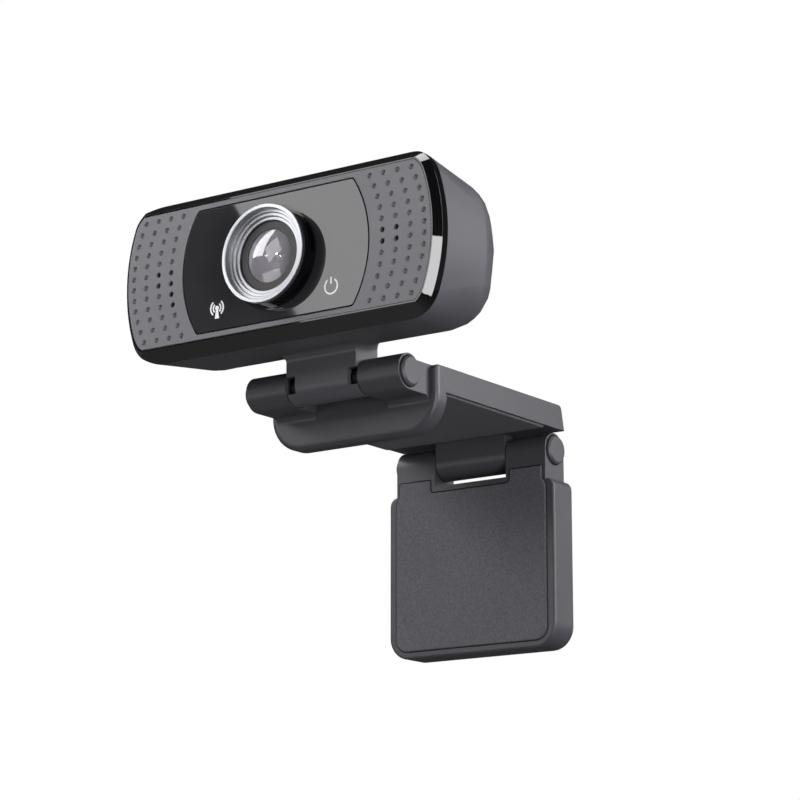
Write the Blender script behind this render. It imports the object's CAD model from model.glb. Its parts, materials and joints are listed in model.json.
"""Webcam with a folding monitor clip: finishes, fine pieces, light and camera.

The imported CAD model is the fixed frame.  Every visible CAD node keeps its shape
and gets the finish of its real material.  Two pieces that are too fine for the
frame are built here: the case screws with their six-lobe drive, and the lens cell
with its light-trapping ridges.  All lengths are metres in the frame's axes.
"""
import json
import logging
import math
from dataclasses import dataclass
from enum import Enum
from typing import Any, Optional, Sequence

import bmesh
import bpy
from mathutils import Matrix, Vector


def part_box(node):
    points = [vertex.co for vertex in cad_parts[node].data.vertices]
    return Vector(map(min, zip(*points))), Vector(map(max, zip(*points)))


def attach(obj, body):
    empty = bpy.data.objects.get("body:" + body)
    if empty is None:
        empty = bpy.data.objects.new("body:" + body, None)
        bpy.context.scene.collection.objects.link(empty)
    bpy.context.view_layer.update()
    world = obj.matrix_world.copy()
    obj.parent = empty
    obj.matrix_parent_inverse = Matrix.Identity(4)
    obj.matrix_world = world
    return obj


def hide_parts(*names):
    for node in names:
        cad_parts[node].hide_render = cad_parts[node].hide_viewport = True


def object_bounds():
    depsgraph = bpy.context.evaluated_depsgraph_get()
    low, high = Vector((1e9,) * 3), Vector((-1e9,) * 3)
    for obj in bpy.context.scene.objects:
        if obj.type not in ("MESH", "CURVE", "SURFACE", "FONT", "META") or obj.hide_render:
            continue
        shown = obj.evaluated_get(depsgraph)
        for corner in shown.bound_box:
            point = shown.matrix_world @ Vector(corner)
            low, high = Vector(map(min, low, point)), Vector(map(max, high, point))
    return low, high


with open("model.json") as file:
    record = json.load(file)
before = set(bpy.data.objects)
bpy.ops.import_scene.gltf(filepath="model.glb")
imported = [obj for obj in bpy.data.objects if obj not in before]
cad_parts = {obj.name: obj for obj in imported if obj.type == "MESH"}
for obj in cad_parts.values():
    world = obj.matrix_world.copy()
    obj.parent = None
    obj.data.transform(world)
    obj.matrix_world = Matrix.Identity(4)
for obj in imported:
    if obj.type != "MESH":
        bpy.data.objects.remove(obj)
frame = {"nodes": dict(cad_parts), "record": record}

CAD_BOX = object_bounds()
LOG = logging.getLogger("webcam")
MM = 0.001


# ---------------------------------------------------------------- helpers

def linear(hex_colour: str, alpha: float = 1.0) -> tuple[float, float, float, float]:
    """Turn an sRGB hex colour into the linear colour a shader wants.

    Args:
        hex_colour: six hex digits with a leading hash.
        alpha: opacity put behind the three channels.

    Returns:
        Red, green, blue and alpha, linear.
    """
    channels = [int(hex_colour[i:i + 2], 16) / 255 for i in (1, 3, 5)]
    red, green, blue = (
        c / 12.92 if c <= 0.04045 else ((c + 0.055) / 1.055) ** 2.4 for c in channels
    )
    return red, green, blue, alpha


def add_node(
    tree: bpy.types.NodeTree, kind: str, inputs: Optional[dict[Any, Any]] = None, **settings: Any
) -> bpy.types.Node:
    """Add one shader node, set it up and link what feeds it.

    Args:
        tree: node tree that receives the node.
        kind: Blender's node type name.
        inputs: socket name or number to a value, or to the output socket that drives it.
        **settings: plain properties of the node.

    Returns:
        The new node.
    """
    node = tree.nodes.new(kind)
    for key, value in settings.items():
        setattr(node, key, value)
    for socket, value in (inputs or {}).items():
        if isinstance(value, bpy.types.NodeSocket):
            tree.links.new(value, node.inputs[socket])
        else:
            node.inputs[socket].default_value = value
    return node


def per_metre(size_mm: float) -> float:
    """Texture scale that gives a pattern of this size in millimetres."""
    return 1.0 / (size_mm * MM)


def new_tree(name: str) -> tuple[bpy.types.Material, bpy.types.NodeTree]:
    """Make an empty node material and return it with its tree."""
    material = bpy.data.materials.new(name)
    material.use_nodes = True
    material.node_tree.nodes.clear()
    return material, material.node_tree


def close_tree(tree: bpy.types.NodeTree, shader: bpy.types.Node) -> None:
    """Send a shader to the surface output."""
    add_node(tree, "ShaderNodeOutputMaterial", {"Surface": shader.outputs[0]})


def mottled(
    tree: bpy.types.NodeTree, field: bpy.types.NodeSocket, low: Any, high: Any, kind: str
) -> bpy.types.NodeSocket:
    """Spread a noise field between two values or colours.

    Args:
        tree: node tree to add to.
        field: noise value, about 0.3 to 0.7 over most of the surface.
        low: value or colour where the field is low.
        high: value or colour where the field is high.
        kind: "FLOAT" for numbers or "RGBA" for colours.

    Returns:
        The socket that carries the result.
    """
    spread = add_node(
        tree, "ShaderNodeMapRange",
        {"Value": field, "From Min": 0.3, "From Max": 0.7, "To Min": 0.0, "To Max": 1.0},
    )
    mix = add_node(tree, "ShaderNodeMix", data_type=kind)
    slots = {"FLOAT": (0, 2, 3, 0), "RGBA": (0, 6, 7, 2)}[kind]
    tree.links.new(spread.outputs["Result"], mix.inputs[slots[0]])
    mix.inputs[slots[1]].default_value = low
    mix.inputs[slots[2]].default_value = high
    return mix.outputs[slots[3]]


# ---------------------------------------------------------------- finishes

@dataclass(frozen=True)
class MouldedPlastic:
    """ABS moulded in a spark-eroded tool: satin, with a fine even grain."""

    name: str
    colour: str
    shade: str
    roughness: float
    roughness_spread: float = 0.05
    grain_mm: float = 0.35
    grain_depth_mm: float = 0.006
    flow_mm: float = 14.0
    edge_mm: float = 0.12
    specular: float = 0.5
    glow: float = 0.0

    def make(self) -> bpy.types.Material:
        """Build the material: broad flow shading, fine grain, softened edges."""
        material, tree = new_tree(self.name)
        place = add_node(tree, "ShaderNodeTexCoord").outputs["Object"]
        flow = add_node(
            tree, "ShaderNodeTexNoise",
            {"Vector": place, "Scale": per_metre(self.flow_mm), "Detail": 3.0},
        )
        grain = add_node(
            tree, "ShaderNodeTexNoise",
            {"Vector": place, "Scale": per_metre(self.grain_mm), "Detail": 2.0, "Roughness": 0.6},
        )
        colour = mottled(tree, flow.outputs[0], linear(self.shade), linear(self.colour), "RGBA")
        speckle = mottled(
            tree, grain.outputs[0],
            self.roughness - self.roughness_spread, self.roughness + self.roughness_spread, "FLOAT",
        )
        edge = add_node(tree, "ShaderNodeBevel", {"Radius": self.edge_mm * MM}, samples=4)
        bump = add_node(
            tree, "ShaderNodeBump",
            {
                "Height": grain.outputs[0], "Distance": self.grain_depth_mm * MM,
                "Strength": 1.0, "Normal": edge.outputs[0],
            },
        )
        shader = add_node(
            tree, "ShaderNodeBsdfPrincipled",
            {
                "Base Color": colour, "Roughness": speckle, "Normal": bump.outputs[0],
                "Specular IOR Level": self.specular, "IOR": 1.53,
                "Emission Color": linear(self.colour), "Emission Strength": self.glow,
            },
        )
        close_tree(tree, shader)
        return material


@dataclass(frozen=True)
class PolishedPlastic:
    """Polycarbonate or ABS moulded in a polished tool and lacquered: mirror gloss."""

    name: str
    colour: str
    shade: str
    roughness: float = 0.03
    peel_mm: float = 5.0
    peel_depth_mm: float = 0.002
    smear_mm: float = 9.0
    edge_mm: float = 0.1
    coat: float = 1.0
    specular: float = 0.5

    def make(self) -> bpy.types.Material:
        """Build the material: deep colour, faint lacquer waves, uneven polish."""
        material, tree = new_tree(self.name)
        place = add_node(tree, "ShaderNodeTexCoord").outputs["Object"]
        peel = add_node(
            tree, "ShaderNodeTexNoise",
            {"Vector": place, "Scale": per_metre(self.peel_mm), "Detail": 1.0},
        )
        smear = add_node(
            tree, "ShaderNodeTexNoise",
            {"Vector": place, "Scale": per_metre(self.smear_mm), "Detail": 4.0},
        )
        colour = mottled(tree, smear.outputs[0], linear(self.shade), linear(self.colour), "RGBA")
        polish = mottled(
            tree, smear.outputs[0], self.roughness * 0.7, self.roughness * 1.4, "FLOAT"
        )
        edge = add_node(tree, "ShaderNodeBevel", {"Radius": self.edge_mm * MM}, samples=4)
        bump = add_node(
            tree, "ShaderNodeBump",
            {
                "Height": peel.outputs[0], "Distance": self.peel_depth_mm * MM,
                "Strength": 1.0, "Normal": edge.outputs[0],
            },
        )
        shader = add_node(
            tree, "ShaderNodeBsdfPrincipled",
            {
                "Base Color": colour, "Roughness": polish, "Normal": bump.outputs[0],
                "Specular IOR Level": self.specular, "IOR": 1.53,
                "Coat Weight": self.coat, "Coat Roughness": 0.02, "Coat IOR": 1.5,
            },
        )
        close_tree(tree, shader)
        return material


@dataclass(frozen=True)
class TurnedMetal:
    """Metal cut on a lathe: fine rings round its axis that stretch highlights into fans."""

    name: str
    colour: str
    shade: str
    roughness: float
    axis_x: float
    axis_z: float
    ring_mm: float = 0.22
    ring_depth_mm: float = 0.0025

    def make(self) -> bpy.types.Material:
        """Build the material: concentric tool marks round the lens axis."""
        material, tree = new_tree(self.name)
        place = add_node(tree, "ShaderNodeTexCoord").outputs["Object"]
        centred = add_node(
            tree, "ShaderNodeMapping",
            {"Vector": place, "Location": (-self.axis_x, 0.0, -self.axis_z)},
        )
        flat = add_node(
            tree, "ShaderNodeVectorMath",
            {0: centred.outputs[0], 1: (1.0, 0.0, 1.0)}, operation="MULTIPLY",
        )
        radius = add_node(
            tree, "ShaderNodeVectorMath", {0: flat.outputs[0]}, operation="LENGTH"
        ).outputs["Value"]
        rings = add_node(
            tree, "ShaderNodeTexNoise",
            {"W": radius, "Scale": per_metre(self.ring_mm), "Detail": 3.0},
            noise_dimensions="1D",
        )
        colour = mottled(tree, rings.outputs[0], linear(self.shade), linear(self.colour), "RGBA")
        finish = mottled(
            tree, rings.outputs[0], self.roughness * 0.8, self.roughness * 1.25, "FLOAT"
        )
        bump = add_node(
            tree, "ShaderNodeBump",
            {
                "Height": rings.outputs[0], "Distance": self.ring_depth_mm * MM,
                "Strength": 1.0,
            },
        )
        tangent = add_node(tree, "ShaderNodeTangent", direction_type="RADIAL", axis="Y")
        shader = add_node(
            tree, "ShaderNodeBsdfPrincipled",
            {
                "Base Color": colour, "Metallic": 1.0, "Roughness": finish,
                "Normal": bump.outputs[0], "Anisotropic": 0.55,
                "Tangent": tangent.outputs[0],
            },
        )
        close_tree(tree, shader)
        return material


@dataclass(frozen=True)
class PlainMetal:
    """Steel, brass or drawn aluminium with a ground or plated surface."""

    name: str
    colour: str
    shade: str
    roughness: float
    streak_mm: float = 0.3
    depth_mm: float = 0.002
    metallic: float = 1.0

    def make(self) -> bpy.types.Material:
        """Build the material: short streaks along the grinding direction."""
        material, tree = new_tree(self.name)
        place = add_node(tree, "ShaderNodeTexCoord").outputs["Object"]
        stretched = add_node(
            tree, "ShaderNodeMapping", {"Vector": place, "Scale": (0.08, 1.0, 1.0)}
        )
        streaks = add_node(
            tree, "ShaderNodeTexNoise",
            {"Vector": stretched.outputs[0], "Scale": per_metre(self.streak_mm), "Detail": 3.0},
        )
        colour = mottled(tree, streaks.outputs[0], linear(self.shade), linear(self.colour), "RGBA")
        finish = mottled(
            tree, streaks.outputs[0], self.roughness * 0.8, self.roughness * 1.25, "FLOAT"
        )
        bump = add_node(
            tree, "ShaderNodeBump",
            {"Height": streaks.outputs[0], "Distance": self.depth_mm * MM, "Strength": 1.0},
        )
        shader = add_node(
            tree, "ShaderNodeBsdfPrincipled",
            {
                "Base Color": colour, "Metallic": self.metallic, "Roughness": finish,
                "Normal": bump.outputs[0],
            },
        )
        close_tree(tree, shader)
        return material


@dataclass(frozen=True)
class GrainedRubber:
    """Silicone rubber pad moulded against a sand-blasted tool: matt, with a grit you can see."""

    name: str
    colour: str
    shade: str
    roughness: float = 0.72
    grit_mm: float = 0.42
    grit_depth_mm: float = 0.05
    speck: float = 0.12
    sheen: float = 0.05

    def make(self) -> bpy.types.Material:
        """Build the material: grit in colour, gloss and height."""
        material, tree = new_tree(self.name)
        place = add_node(tree, "ShaderNodeTexCoord").outputs["Object"]
        grit = add_node(
            tree, "ShaderNodeTexNoise",
            {"Vector": place, "Scale": per_metre(self.grit_mm), "Detail": 3.0, "Roughness": 0.65},
        )
        cloud = add_node(
            tree, "ShaderNodeTexNoise", {"Vector": place, "Scale": per_metre(18.0), "Detail": 2.0}
        )
        colour = mottled(tree, grit.outputs[0], linear(self.shade), linear(self.colour), "RGBA")
        finish = mottled(
            tree, cloud.outputs[0], self.roughness - 0.05, self.roughness + 0.05, "FLOAT"
        )
        bump = add_node(
            tree, "ShaderNodeBump",
            {"Height": grit.outputs[0], "Distance": self.grit_depth_mm * MM, "Strength": 1.0},
        )
        shader = add_node(
            tree, "ShaderNodeBsdfPrincipled",
            {
                "Base Color": colour, "Roughness": finish, "Normal": bump.outputs[0],
                "Sheen Weight": self.sheen, "IOR": 1.43,
            },
        )
        close_tree(tree, shader)
        return material


@dataclass(frozen=True)
class CoatedGlass:
    """Ground and polished optical glass with an antireflection coating that tints highlights."""

    name: str
    tint: str
    coating: str
    roughness: float = 0.01
    ior: float = 1.6
    transmission: float = 1.0
    coat_weight: float = 1.0
    haze: str = "#bdbac2"

    def make(self) -> bpy.types.Material:
        """Build the material: clear glass, coating thicker in the middle than at the rim."""
        material, tree = new_tree(self.name)
        place = add_node(tree, "ShaderNodeTexCoord").outputs["Object"]
        dust = add_node(
            tree, "ShaderNodeTexNoise", {"Vector": place, "Scale": per_metre(2.5), "Detail": 4.0}
        )
        clean = mottled(tree, dust.outputs[0], self.roughness, self.roughness * 3, "FLOAT")
        tone = mottled(tree, dust.outputs[0], linear(self.haze), linear(self.tint), "RGBA")
        shader = add_node(
            tree, "ShaderNodeBsdfPrincipled",
            {
                "Base Color": tone, "Roughness": clean, "IOR": self.ior,
                "Transmission Weight": self.transmission, "Coat Weight": self.coat_weight,
                "Coat Roughness": 0.02, "Specular Tint": linear(self.coating),
            },
        )
        close_tree(tree, shader)
        return material


class Finish(Enum):
    """The finishes of the webcam, each named for its real material and how it is made."""

    # soft grey sheen with a fine grain, so that the dimpled face doesn't look flat
    FACE = MouldedPlastic("satin_grey_abs_moulded", "#7d7c82", "#78777d", 0.46, grain_mm=0.3)
    # darker shell behind the rim, its broad soft highlight shows the rounded back
    HOUSING = MouldedPlastic("dark_grey_abs_moulded", "#5c5b61", "#57565c", 0.4)
    # darkest of the greys, so that clip and leg read as one moulding below the head
    CLIP = MouldedPlastic("graphite_abs_moulded", "#4d4c52", "#49484e", 0.4)
    # a shade lighter than the clip, with rounder edges that set each cap off from its knuckle
    CAP = MouldedPlastic("graphite_abs_cap_moulded", "#4f4e54", "#4b4a50", 0.42, edge_mm=0.2)
    # deep black that shows mainly as reflections along the bevels
    RIM = PolishedPlastic("piano_black_abs_lacquered", "#0c0c0e", "#09090b")
    # flat mirror, half light and half dark where a light card's edge falls
    PANEL = PolishedPlastic("black_polycarbonate_window_polished", "#3d3d41", "#39393d")
    # black tube with long highlights that run round it
    BARREL = PolishedPlastic("black_abs_barrel_polished", "#09090b", "#070709", roughness=0.08)
    # duller black step between the bright ring and the glass
    RETAINER = MouldedPlastic(
        "black_retainer_ring_moulded", "#1e1d21", "#19181c", 0.34, grain_mm=0.2
    )
    # pale clear drop, seen only through its small hole
    LAMP = PolishedPlastic("clear_epoxy_lamp_cast", "#c9ced6", "#bcc2cc", roughness=0.12)
    # flat white that glows slightly, more than real ink, to stay white in soft light
    MARK = MouldedPlastic(
        "white_ink_pad_printed", "#f2f2f5", "#e6e6ea", 0.5, grain_mm=0.15, glow=0.35
    )
    # green with slow waves in the coat, inside the head
    BOARD = MouldedPlastic("green_solder_mask_sprayed", "#1f5a38", "#184a2d", 0.35, flow_mm=3.0)
    # dull black block, without a highlight
    CHIP = MouldedPlastic("black_epoxy_package_moulded", "#1c1c1e", "#161618", 0.6)
    # coarse soft grain, plainly rubber beside the smooth clip
    PAD = GrainedRubber("grey_silicone_pad_grained", "#6d6c72", "#55545a")
    # matt black ring round the cord inlet
    GROMMET = GrainedRubber(
        "black_rubber_grommet_moulded", "#2b2b2e", "#232326", grit_depth_mm=0.02
    )
    # matt black behind the sound holes
    BOOT = GrainedRubber("black_rubber_boot_moulded", "#29292c", "#212124", grit_depth_mm=0.02)
    # ground steel, a thin bright line between the knuckles
    STEEL = PlainMetal("hinge_steel_ground", "#a9a9ad", "#8e8e93", 0.32)
    # dark and dry, so that the gap round each pin stays dark
    SLEEVE = GrainedRubber(
        "black_acetal_sleeve_turned", "#0d0d0e", "#090909", roughness=0.6, sheen=0.0
    )
    # plated heads deep in the pockets of the back, mostly in shade
    SCREW = PlainMetal("zinc_plated_steel_screw", "#b4b5ba", "#98999f", 0.28)
    # dull rolled steel, hidden in the leg
    WEIGHT = PlainMetal("plain_steel_plate_rolled", "#8c8c90", "#77777c", 0.45)
    # thin drawn cans, light points behind the sound holes
    CAN = PlainMetal("aluminium_can_drawn", "#c6c7ca", "#b0b1b5", 0.3)
    # near black metal that keeps the inside of the lens dark
    CELL = PlainMetal("black_anodised_aluminium", "#1b1b1d", "#121214", 0.45, metallic=0.6)
    # clear dome with a faint violet coat and small sharp lights
    LENS = CoatedGlass("optical_glass_coated", "#cfccd4", "#efe2f2", transmission=0.42)
    # magenta glow deep in the lens
    INNER_LENS = CoatedGlass("inner_glass_magenta_coated", "#c9a6c4", "#f0a0d8", haze="#b79ab4")
    # red plate in front of the sensor
    FILTER = CoatedGlass("infrared_filter_glass_coated", "#a6606e", "#d070c0", ior=1.52)
    # bright ring whose turning marks draw the light out into arcs
    TRIM = TurnedMetal(
        "aluminium_turned_anodised", "#cfd0d4", "#b9babf", 0.4,
        axis_x=0.0, axis_z=sum(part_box("lens_trim_ring")[i].z for i in (0, 1)) / 2,
    )


NODE_FINISH = {
    "rim_bezel": Finish.RIM, "face_plate": Finish.FACE, "centre_panel": Finish.PANEL,
    "power_icon": Finish.MARK, "wireless_icon": Finish.MARK, "lens_barrel": Finish.BARREL,
    "lens_trim_ring": Finish.TRIM, "lens_retainer": Finish.RETAINER, "front_lens": Finish.LENS,
    "lens_cell": Finish.CELL, "aperture_stop": Finish.CELL, "inner_lens": Finish.INNER_LENS,
    "main_board": Finish.BOARD, "image_sensor": Finish.CHIP, "ir_filter": Finish.FILTER,
    "controller_chip": Finish.CHIP, "board_screws": Finish.SCREW, "microphone_boots": Finish.BOOT,
    "microphones": Finish.CAN, "indicator_leds": Finish.LAMP, "rear_housing": Finish.HOUSING,
    "case_screws": Finish.SCREW, "cable_grommet": Finish.GROMMET, "friction_sleeves": Finish.SLEEVE,
    "clip_arm": Finish.CLIP, "rest_pad": Finish.PAD, "tilt_pin": Finish.STEEL,
    "tilt_pin_caps": Finish.CAP, "rear_leg": Finish.CLIP, "leg_pad": Finish.PAD,
    "leg_weight": Finish.WEIGHT, "fold_pin": Finish.STEEL, "fold_pin_caps": Finish.CAP,
}


MATERIALS: dict[Finish, bpy.types.Material] = {}


def material_of(finish: Finish) -> bpy.types.Material:
    """The material of a finish, made the first time it is asked for."""
    if finish not in MATERIALS:
        MATERIALS[finish] = finish.value.make()
    return MATERIALS[finish]


def dress(names: Sequence[str]) -> None:
    """Give each named CAD node its finish.

    Args:
        names: CAD node names, all of them in the finish table.
    """
    for name in names:
        node = frame["nodes"][name]
        node.data.materials.clear()
        node.data.materials.append(material_of(NODE_FINISH[name]))
        LOG.info("%s: %s", name, NODE_FINISH[name].value.name)


def skin(shape: bmesh.types.BMesh, rings: Sequence[Sequence[Vector]], capped: bool) -> None:
    """Join rings of equal point count into a closed surface.

    Args:
        shape: mesh under construction.
        rings: rings in order, each running the same way round.
        capped: close both ends with fans; otherwise join the last ring to the first.
    """
    loops = [[shape.verts.new(point) for point in ring] for ring in rings]
    pairs = list(zip(loops, loops[1:]))
    if not capped:
        pairs.append((loops[-1], loops[0]))
    for one, two in pairs:
        for index in range(len(one)):
            after = (index + 1) % len(one)
            shape.faces.new((one[index], one[after], two[after], two[index]))
    if capped:
        for loop, way in ((loops[0], -1), (loops[-1], 1)):
            centre = shape.verts.new(sum((v.co for v in loop), Vector()) / len(loop))
            for index in range(len(loop)):
                after = (index + 1) % len(loop)
                corner = (loop[index], loop[after]) if way > 0 else (loop[after], loop[index])
                shape.faces.new((*corner, centre))


def ring_points(
    centre: Vector, radius: float, count: int, lobes: int = 0, depth: float = 0.0
) -> list[Vector]:
    """Points of a ring square to the Y axis, plain or wavy.

    Args:
        centre: centre of the ring.
        radius: mean radius.
        count: number of points.
        lobes: number of waves round the ring.
        depth: half the height of the waves.

    Returns:
        The points, counter-clockwise seen from -Y.
    """
    points = []
    for index in range(count):
        turn = 2 * math.pi * index / count
        reach = radius + depth * math.cos(lobes * turn)
        points.append(centre + Vector((reach * math.cos(turn), 0.0, reach * math.sin(turn))))
    return points


def finish_piece(
    shape: bmesh.types.BMesh, name: str, finish: Finish, node: str, body: str
) -> bpy.types.Object:
    """Turn a built mesh into a piece that stands for a CAD node.

    Args:
        shape: the built mesh, freed here.
        name: name of the piece.
        finish: finish of the piece.
        node: CAD node that the piece replaces.
        body: CAD body that carries the piece.

    Returns:
        The new object.
    """
    bmesh.ops.recalc_face_normals(shape, faces=shape.faces)
    mesh = bpy.data.meshes.new(name)
    shape.to_mesh(mesh)
    shape.free()
    for polygon in mesh.polygons:
        polygon.use_smooth = True
    mesh.set_sharp_from_angle(angle=math.radians(32))
    mesh.materials.append(material_of(finish))
    piece = bpy.data.objects.new(name, mesh)
    bpy.context.scene.collection.objects.link(piece)
    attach(piece, body)
    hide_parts(node)
    LOG.info("%s built for %s", name, node)
    return piece


# ---------------------------------------------------------------- sub-assemblies

@dataclass(frozen=True)
class CaseScrews:
    """Four pan-head screws with a six-lobe drive, in the corners of the rear housing."""

    node: str = "case_screws"
    body: str = "head"
    head_radius: float = 1.8 * MM
    head_height: float = 1.3 * MM
    shank_radius: float = 0.9 * MM
    point_length: float = 0.8 * MM
    drive_radius: float = 0.78 * MM
    drive_wave: float = 0.15 * MM
    drive_depth: float = 0.8 * MM
    crown: float = 0.35 * MM
    points: int = 60

    def centres(self) -> list[tuple[float, float]]:
        """X and Z of the four screws, from the box of the CAD screws."""
        low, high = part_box(self.node)
        inset = self.head_radius
        return [
            (x, z)
            for x in (low.x + inset, high.x - inset)
            for z in (low.z + inset, high.z - inset)
        ]

    def rings(self, x: float, z: float) -> list[list[Vector]]:
        """Rings of one screw, from its point to the floor of its drive."""
        low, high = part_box(self.node)
        tip, top = low.y, high.y
        under = top - self.head_height
        profile = (
            (self.shank_radius * 0.3, tip),
            (self.shank_radius, tip + self.point_length),
            (self.shank_radius, under),
            (self.head_radius, under),
            (self.head_radius, top - self.crown),
            (self.head_radius * 0.93, top - self.crown * 0.4),
            (self.head_radius * 0.78, top - self.crown * 0.06),
            (self.head_radius * 0.62, top),
        )
        plain = [ring_points(Vector((x, y, z)), r, self.points) for r, y in profile]
        drive = [
            ring_points(Vector((x, y, z)), self.drive_radius * size, self.points, 6, self.drive_wave * size)
            for y, size in ((top, 1.0), (top - self.drive_depth, 0.96))
        ]
        return plain + drive

    def build(self) -> None:
        """Skin the four screws into one piece."""
        shape = bmesh.new()
        for x, z in self.centres():
            skin(shape, self.rings(x, z), capped=True)
        finish_piece(shape, "case_screws_six_lobe", Finish.SCREW, self.node, self.body)


@dataclass(frozen=True)
class RidgedLensCell:
    """Tube behind the front lens, with saw-tooth ridges that trap stray light."""

    node: str = "lens_cell"
    body: str = "head"
    bore: float = 4.6 * MM
    ridge_pitch: float = 0.5 * MM
    ridge_depth: float = 0.3 * MM
    land: float = 1.2 * MM
    points: int = 96

    def profile(self) -> list[tuple[float, float]]:
        """Radius and Y of the tube's section, once round."""
        low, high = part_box(self.node)
        outer = (high.x - low.x) / 2
        section = [(outer, low.y), (outer, high.y), (self.bore, high.y)]
        place = high.y - self.land * 3
        while place - self.ridge_pitch > low.y + self.land:
            section.append((self.bore, place))
            section.append((self.bore + self.ridge_depth, place - self.ridge_pitch * 0.2))
            place -= self.ridge_pitch
        section += [(self.bore, place), (self.bore, low.y)]
        return section

    def build(self) -> None:
        """Turn the section round the lens axis."""
        low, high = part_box(self.node)
        middle = (low + high) / 2
        shape = bmesh.new()
        rings = [
            ring_points(Vector((middle.x, y, middle.z)), radius, self.points)
            for radius, y in self.profile()
        ]
        skin(shape, rings, capped=False)
        finish_piece(shape, "lens_cell_ridged", Finish.CELL, self.node, self.body)


@dataclass
class CameraHead:
    """The tilting head: rim, face, panel, lens, electronics and rear housing."""

    body: str = "head"
    screws: CaseScrews = CaseScrews()
    cell: RidgedLensCell = RidgedLensCell()

    def nodes(self) -> Sequence[str]:
        """Names of the CAD nodes that make up this sub-assembly."""
        return frame["record"]["behaviour"]["bodies"][self.body]

    def build(self) -> None:
        """Dress the CAD nodes, then build the screws and the ridged cell."""
        dress(self.nodes())
        self.screws.build()
        self.cell.build()


@dataclass
class ClipArm:
    """The fixed platform with its lip, rest pad and tilt hinge."""

    body: str = "clip"

    def nodes(self) -> Sequence[str]:
        """Names of the CAD nodes that make up this sub-assembly."""
        return frame["record"]["behaviour"]["bodies"][self.body]

    def build(self) -> None:
        """Dress the CAD nodes of the clip."""
        dress(self.nodes())


@dataclass
class FoldingLeg:
    """The rear leg with its pad, weight and hinge pin."""

    body: str = "leg"

    def nodes(self) -> Sequence[str]:
        """Names of the CAD nodes that make up this sub-assembly."""
        return frame["record"]["behaviour"]["bodies"][self.body]

    def build(self) -> None:
        """Dress the CAD nodes of the leg."""
        dress(self.nodes())


# ---------------------------------------------------------------- studio

@dataclass(frozen=True)
class Softbox:
    """A rectangular light that faces the webcam from a place."""

    name: str
    place: tuple[float, float, float]
    width: float
    height: float
    radiance: float
    roll_deg: float = 0.0

    def build(self, aim: Vector) -> None:
        """Hang the softbox so that it faces the aim point.

        Args:
            aim: point in the frame that the light faces.
        """
        data = bpy.data.lights.new(self.name, "AREA")
        data.shape = "RECTANGLE"
        data.size = self.width
        data.size_y = self.height
        data.energy = self.radiance * math.pi * self.width * self.height
        lamp = bpy.data.objects.new(self.name, data)
        bpy.context.scene.collection.objects.link(lamp)
        away = Vector(self.place) - aim
        turn = away.to_track_quat("Z", "Y") @ Matrix.Rotation(
            math.radians(self.roll_deg), 3, "Z"
        ).to_quaternion()
        lamp.rotation_mode = "QUATERNION"
        lamp.rotation_quaternion = turn
        lamp.location = self.place
        LOG.info("light %s", self.name)


@dataclass(frozen=True)
class PanelCard:
    """Light card whose one straight edge is mirrored across the glossy centre panel."""

    name: str = "panel_card"
    edge_middle: tuple[float, float, float] = (-0.5566, -0.75, 0.2807)
    edge_towards: tuple[float, float, float] = (-0.535, 0.0, 0.845)
    width: float = 0.34
    length: float = 0.42
    radiance: float = 2.25

    def build(self) -> None:
        """Hang the card square to the lens axis, its edge on the given line."""
        data = bpy.data.lights.new(self.name, "AREA")
        data.shape = "RECTANGLE"
        data.size = self.width
        data.size_y = self.length
        data.energy = self.radiance * math.pi * self.width * self.length
        lamp = bpy.data.objects.new(self.name, data)
        bpy.context.scene.collection.objects.link(lamp)
        along = Vector(self.edge_towards).normalized()
        shine = Vector((0.0, 1.0, 0.0))
        # a lamp shines along its own -Z, its size runs along its X and Y
        across = along.cross(-shine)
        frame_axes = Matrix((across, along, -shine)).transposed()
        lamp.rotation_mode = "QUATERNION"
        lamp.rotation_quaternion = frame_axes.to_quaternion()
        inward = across if across.x > 0 else -across
        lamp.location = Vector(self.edge_middle) + inward * (self.width / 2)
        LOG.info("light %s", self.name)


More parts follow.
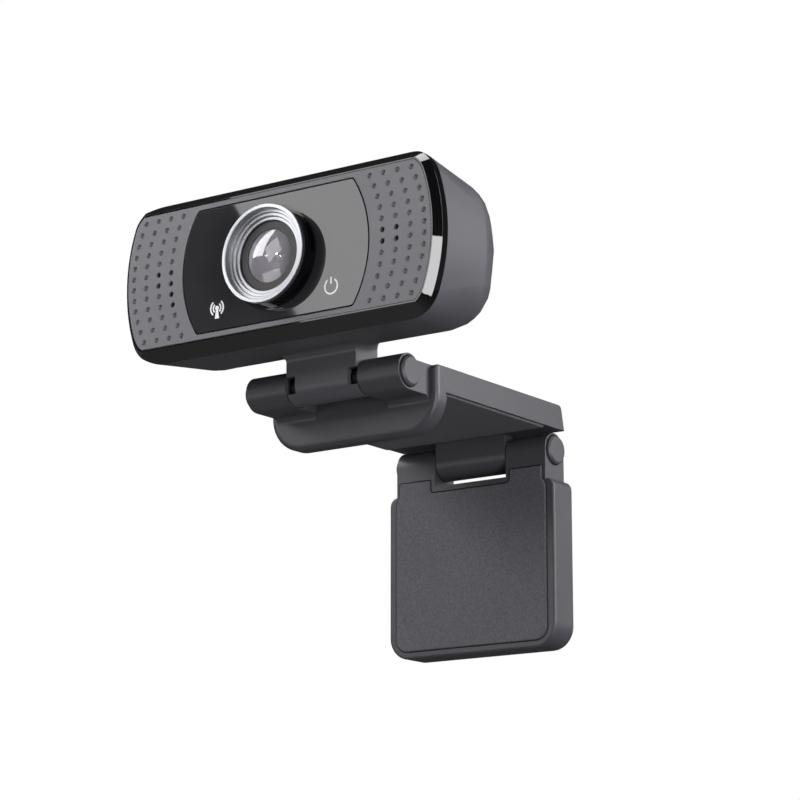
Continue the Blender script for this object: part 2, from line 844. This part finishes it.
@dataclass
class Studio:
    """Pale floor, white surround, softboxes and the camera."""

    aim: Vector
    floor_z: float = -1.6
    floor_side: float = 14.0
    camera_place: tuple[float, float, float] = (0.34437, -0.48798, -0.13238)
    camera_azimuth_deg: float = 35.51
    camera_elevation_deg: float = -13.0
    camera_lens_mm: float = 123.55
    fill: float = 0.12

    def build_floor(self) -> None:
        """Lay a wide pale floor well under the clip."""
        mesh = bpy.data.meshes.new("studio_floor")
        shape = bmesh.new()
        bmesh.ops.create_grid(shape, x_segments=8, y_segments=8, size=self.floor_side / 2)
        shape.to_mesh(mesh)
        shape.free()
        floor = bpy.data.objects.new("studio_floor", mesh)
        floor.location = (0.0, 0.0, self.floor_z)
        bpy.context.scene.collection.objects.link(floor)
        material, tree = new_tree("matt_paper_floor")
        place = add_node(tree, "ShaderNodeTexCoord").outputs["Object"]
        fibre = add_node(
            tree, "ShaderNodeTexNoise", {"Vector": place, "Scale": per_metre(40.0), "Detail": 3.0}
        )
        tone = mottled(tree, fibre.outputs[0], linear("#ececee"), linear("#f2f2f3"), "RGBA")
        paper = add_node(
            tree, "ShaderNodeBsdfPrincipled", {"Base Color": tone, "Roughness": 0.9}
        )
        lit = add_node(tree, "ShaderNodeEmission", {"Color": tone, "Strength": 1.0})
        seen = add_node(tree, "ShaderNodeLightPath").outputs["Is Camera Ray"]
        # seen directly the floor is evenly lit; it throws only little light back up
        both = add_node(
            tree, "ShaderNodeMixShader", {0: seen, 1: paper.outputs[0], 2: lit.outputs[0]}
        )
        close_tree(tree, both)
        mesh.materials.append(material)

    def build_surround(self) -> None:
        """White seen directly, a dim graded surround for everything it lights."""
        world = bpy.data.worlds.new("studio_surround")
        bpy.context.scene.world = world
        world.use_nodes = True
        tree = world.node_tree
        tree.nodes.clear()
        direction = add_node(tree, "ShaderNodeTexCoord").outputs["Generated"]
        height = add_node(tree, "ShaderNodeSeparateXYZ", {"Vector": direction}).outputs["Z"]
        grade = add_node(
            tree, "ShaderNodeMapRange",
            {
                "Value": height, "From Min": -0.6, "From Max": 0.5,
                "To Min": self.fill, "To Max": self.fill * 0.2,
            },
            interpolation_type="SMOOTHSTEP",
        )
        dim = add_node(
            tree, "ShaderNodeBackground",
            {"Color": linear("#f4f5fa"), "Strength": grade.outputs["Result"]},
        )
        white = add_node(
            tree, "ShaderNodeBackground", {"Color": (1.0, 1.0, 1.0, 1.0), "Strength": 1.0}
        )
        seen = add_node(tree, "ShaderNodeLightPath").outputs["Is Camera Ray"]
        both = add_node(
            tree, "ShaderNodeMixShader", {0: seen, 1: dim.outputs[0], 2: white.outputs[0]}
        )
        add_node(tree, "ShaderNodeOutputWorld", {"Surface": both.outputs[0]})

    def build_camera(self) -> None:
        """Long lens, in front, to the right and below, looking up."""
        data = bpy.data.cameras.new("studio_camera")
        data.lens = self.camera_lens_mm
        data.sensor_width = 36.0
        data.clip_start = 0.01
        camera = bpy.data.objects.new("studio_camera", data)
        bpy.context.scene.collection.objects.link(camera)
        turn = math.radians(self.camera_azimuth_deg)
        rise = math.radians(self.camera_elevation_deg)
        back = Vector((
            math.sin(turn) * math.cos(rise), -math.cos(turn) * math.cos(rise), math.sin(rise)
        ))
        camera.location = self.camera_place
        camera.rotation_mode = "QUATERNION"
        camera.rotation_quaternion = (-back).to_track_quat("-Z", "Y")
        bpy.context.scene.camera = camera

    def build(self) -> None:
        """Build everything that is not part of the webcam."""
        self.build_floor()
        self.build_surround()
        self.build_camera()
        PanelCard().build()
        for box in SOFTBOXES:
            box.build(self.aim)
        bpy.context.scene.view_settings.view_transform = "Standard"


SOFTBOXES = (
    # main light, high on the left: shades the upper left of every dimple and of the leg
    Softbox("key_light", (-0.72, -0.44, 0.52), 0.5, 0.5, 6.0),
    # low light in front: the lower half of the barrels and the lip
    Softbox("low_front_light", (-0.45, -0.78, -0.16), 0.5, 0.24, 1.9),
    # tall strip on the right: the sides that face right and the bevel of the rim
    Softbox("right_strip", (0.8, -0.43, -0.16), 0.26, 0.75, 7.0),
    # large light behind on the right: a broad sheen on every side that faces right
    Softbox("side_light", (0.74, 0.38, 0.36), 0.6, 0.7, 6.6),
    # small overhead light that catches the upper corners
    Softbox("top_light", (0.16, -0.12, 0.85), 0.3, 0.3, 5.0),
    # small bright lamps mirrored as points in the glass
    Softbox("lens_spark", (-0.30, -0.85, 0.26), 0.03, 0.04, 60.0),
    Softbox("lens_spark_second", (-0.21, -0.88, 0.20), 0.02, 0.025, 50.0),
)


def main() -> None:
    """Build the webcam's looks and its studio."""
    logging.basicConfig(level=logging.INFO, format="%(name)s %(message)s")
    for part in (CameraHead(), ClipArm(), FoldingLeg()):
        part.build()
    low, high = CAD_BOX
    Studio(aim=(low + high) / 2).build()


if __name__ == "__main__":
    main()
